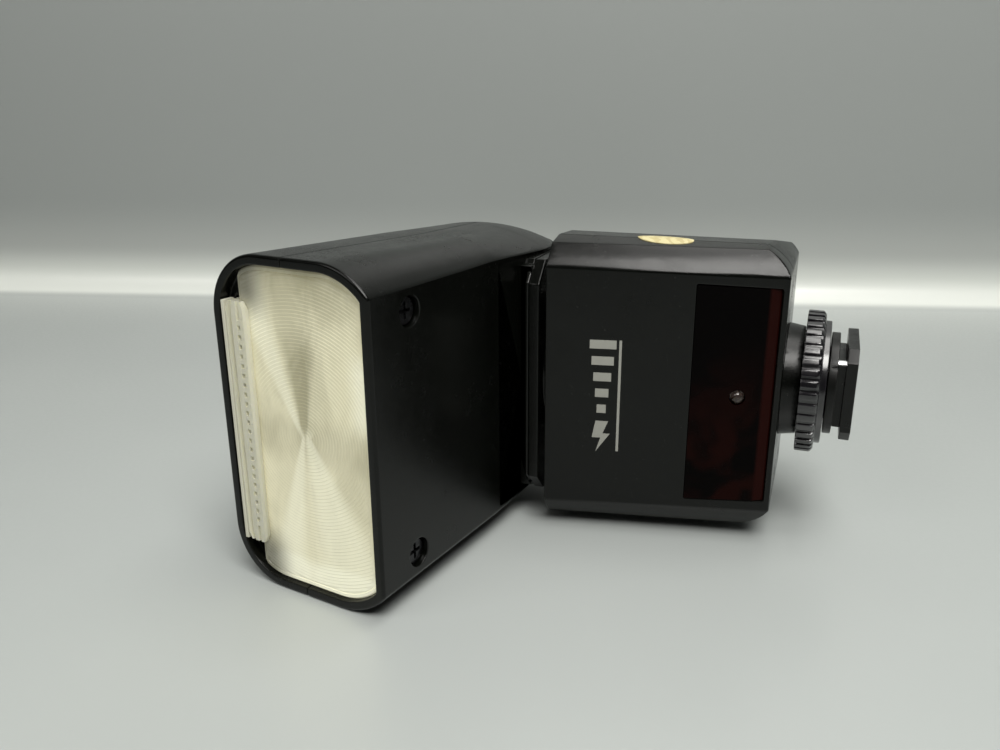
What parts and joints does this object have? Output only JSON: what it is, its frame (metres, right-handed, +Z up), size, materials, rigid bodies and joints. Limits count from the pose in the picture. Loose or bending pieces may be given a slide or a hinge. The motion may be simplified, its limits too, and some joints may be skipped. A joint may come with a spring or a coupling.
{
  "type": "speedlight flash",
  "caption": "Compact shoe-mount speedlight with a tilting, swivelling zoom head, pull-out wide panel and bounce card, control panel, battery bay and locking foot.",
  "frame": {"origin": "middle of the object's outline, on the surface it lies on", "axes": "+X along the shoe axis towards the foot, +Y from the front of the flash to its control panel, +Z up across the flash's width as it lies on its side"},
  "size_m": [0.106, 0.082, 0.062],
  "materials": {
    "body_black": "fine moulded texture, satin",
    "foot_black": "satin moulded plastic",
    "ring_black": "satin, ribbed grip",
    "red_window": "dark red tinted, polished",
    "lamp_clear": "clear lamp dome",
    "lens_clear": "clear prismatic moulding",
    "panel_clear": "clear moulding with fine teeth",
    "card_white": "white sheet, satin",
    "inner_plastic": "plain moulded plastic",
    "reflector_mirror": "bright anodised",
    "tube_glass": "clear glass tube",
    "electrode_steel": "plain metal",
    "steel": "turned steel",
    "motor_steel": "drawn steel can",
    "capacitor_sleeve": "shrink sleeve",
    "board_green": "solder mask",
    "lcd_grey": "grey-green display",
    "lcd_glass": "clear window with dark frame",
    "sticker_cream": "printed paper seal, blank",
    "screw_black": "black oxide steel",
    "cell_sleeve": "plain printed sleeve",
    "contact_nickel": "nickel plated",
    "latch_black": "ribbed thumb grip",
    "key_rubber": "silicone key",
    "test_lamp": "translucent button",
    "dial_black": "ribbed dial",
    "port_rubber": "soft rubber flap",
    "usb_steel": "stamped steel",
    "contact_gold": "gold plated",
    "pin_chrome": "polished pin"
  },
  "bodies": {
    "control_body": {"front_shell": "body_black", "rear_shell": "body_black", "af_window": "red_window", "af_lamp": "lamp_clear", "base_screws": "screw_black", "seal_sticker": "sticker_cream", "battery_cradle": "inner_plastic", "battery_cell_1": "cell_sleeve", "battery_cell_2": "cell_sleeve", "battery_contacts": "contact_nickel", "door_hinge_pin": "steel", "control_board": "board_green", "lcd_module": "lcd_grey", "lcd_window": "lcd_glass", "sync_jack": "contact_nickel", "usb_socket": "usb_steel", "foot_neck": "body_black", "shoe_base": "foot_black", "foot_plate": "foot_black", "shoe_contacts": "contact_gold", "swivel_washer": "inner_plastic"},
    "swivel": {"swivel_turret": "body_black", "swivel_shaft": "steel", "retaining_ring": "steel"},
    "head": {"head_lower_shell": "body_black", "head_upper_shell": "body_black", "head_screws": "screw_black", "tilt_pins": "steel", "fresnel_lens": "lens_clear", "zoom_rails": "steel", "zoom_motor": "motor_steel", "main_capacitor": "capacitor_sleeve", "head_board": "board_green", "card_tray": "inner_plastic"},
    "zoom_carriage": {"zoom_carriage": "inner_plastic", "reflector": "reflector_mirror", "flash_tube": "tube_glass", "tube_electrodes": "electrode_steel"},
    "zoom_screw": {"zoom_screw": "steel"},
    "wide_panel": {"wide_panel": "panel_clear"},
    "bounce_card": {"bounce_card": "card_white"},
    "battery_door": {"battery_door": "body_black", "door_contact": "contact_nickel"},
    "door_latch": {"door_latch": "latch_black"},
    "power_switch": {"power_switch": "latch_black"},
    "select_dial": {"select_dial": "dial_black"},
    "set_button": {"set_button": "dial_black"},
    "test_button": {"test_button": "test_lamp"},
    "key_1": {"key_1": "key_rubber"},
    "key_2": {"key_2": "key_rubber"},
    "key_3": {"key_3": "key_rubber"},
    "key_4": {"key_4": "key_rubber"},
    "port_cover": {"port_cover": "port_rubber"},
    "lock_ring": {"lock_ring": "ring_black"},
    "locking_pin": {"locking_pin": "pin_chrome"}
  },
  "joints": [
    {"name": "swivel_turn", "type": "hinge", "parent": "control_body", "child": "swivel", "pos_m": [-0.00462, 0.02075, 0.031], "axis": [-1, 0, 0], "range_deg": [-90, 180]},
    {"name": "head_tilt", "type": "hinge", "parent": "swivel", "child": "head", "pos_m": [-0.02418, 0.01776, 0.031], "axis": [0, 0, -1], "range_deg": [-9.7, 80.3]},
    {"name": "zoom_travel", "type": "slide", "parent": "head", "child": "zoom_carriage", "axis": [-0.1688, -0.9856, 0], "range_m": [0, 0.008]},
    {"name": "zoom_screw_turn", "type": "hinge", "parent": "head", "child": "zoom_screw", "pos_m": [-0.02282, -0.03117, 0.031], "axis": [-0.1688, -0.9856, 0], "range_deg": [0, 1440]},
    {"name": "wide_panel_slide", "type": "slide", "parent": "head", "child": "wide_panel", "axis": [-0.1688, -0.9856, 0], "range_m": [0, 0.032]},
    {"name": "bounce_card_slide", "type": "slide", "parent": "head", "child": "bounce_card", "axis": [-0.1688, -0.9856, 0], "range_m": [0, 0.03]},
    {"name": "battery_door_swing", "type": "hinge", "parent": "control_body", "child": "battery_door", "pos_m": [0.01508, 0.02717, 0.0023], "axis": [0.9833, 0.1822, 0], "range_deg": [0, 95]},
    {"name": "door_latch_slide", "type": "slide", "parent": "battery_door", "child": "door_latch", "axis": [0.9833, 0.1822, 0], "range_m": [0, 0.003]},
    {"name": "power_switch_slide", "type": "slide", "parent": "control_body", "child": "power_switch", "axis": [0, 0, 1], "range_m": [0, 0.003]},
    {"name": "select_dial_turn", "type": "hinge", "parent": "control_body", "child": "select_dial", "pos_m": [0.02898, 0.03975, 0.031], "axis": [0, 1, 0], "continuous": true},
    {"name": "set_press", "type": "slide", "parent": "control_body", "child": "set_button", "axis": [0, -1, 0], "range_m": [0, 0.0006], "stiffness_N_per_m": 150},
    {"name": "test_press", "type": "slide", "parent": "control_body", "child": "test_button", "axis": [0, -1, 0], "range_m": [0, 0.0006], "stiffness_N_per_m": 150},
    {"name": "key_1_press", "type": "slide", "parent": "control_body", "child": "key_1", "axis": [0, -1, 0], "range_m": [0, 0.0006], "stiffness_N_per_m": 150},
    {"name": "key_2_press", "type": "slide", "parent": "control_body", "child": "key_2", "axis": [0, -1, 0], "range_m": [0, 0.0006], "stiffness_N_per_m": 150},
    {"name": "key_3_press", "type": "slide", "parent": "control_body", "child": "key_3", "axis": [0, -1, 0], "range_m": [0, 0.0006], "stiffness_N_per_m": 150},
    {"name": "key_4_press", "type": "slide", "parent": "control_body", "child": "key_4", "axis": [0, -1, 0], "range_m": [0, 0.0006], "stiffness_N_per_m": 150},
    {"name": "port_cover_swing", "type": "hinge", "parent": "control_body", "child": "port_cover", "pos_m": [0.00818, 0.03015, 0.0569], "axis": [0, -1, 0], "range_deg": [0, 88]},
    {"name": "lock_ring_turn", "type": "hinge", "parent": "control_body", "child": "lock_ring", "pos_m": [0.04438, 0.02438, 0.031], "axis": [1, 0, 0], "range_deg": [0, 90]},
    {"name": "locking_pin_slide", "type": "slide", "parent": "control_body", "child": "locking_pin", "axis": [1, 0, 0], "range_m": [0, 0.0015]}
  ],
  "couplings": [
    {"joint": "zoom_screw_turn", "follows": "zoom_travel", "rad_per_m": 3141.6},
    {"joint": "locking_pin_slide", "follows": "lock_ring_turn", "m_per_rad": 0.00095493}
  ]
}
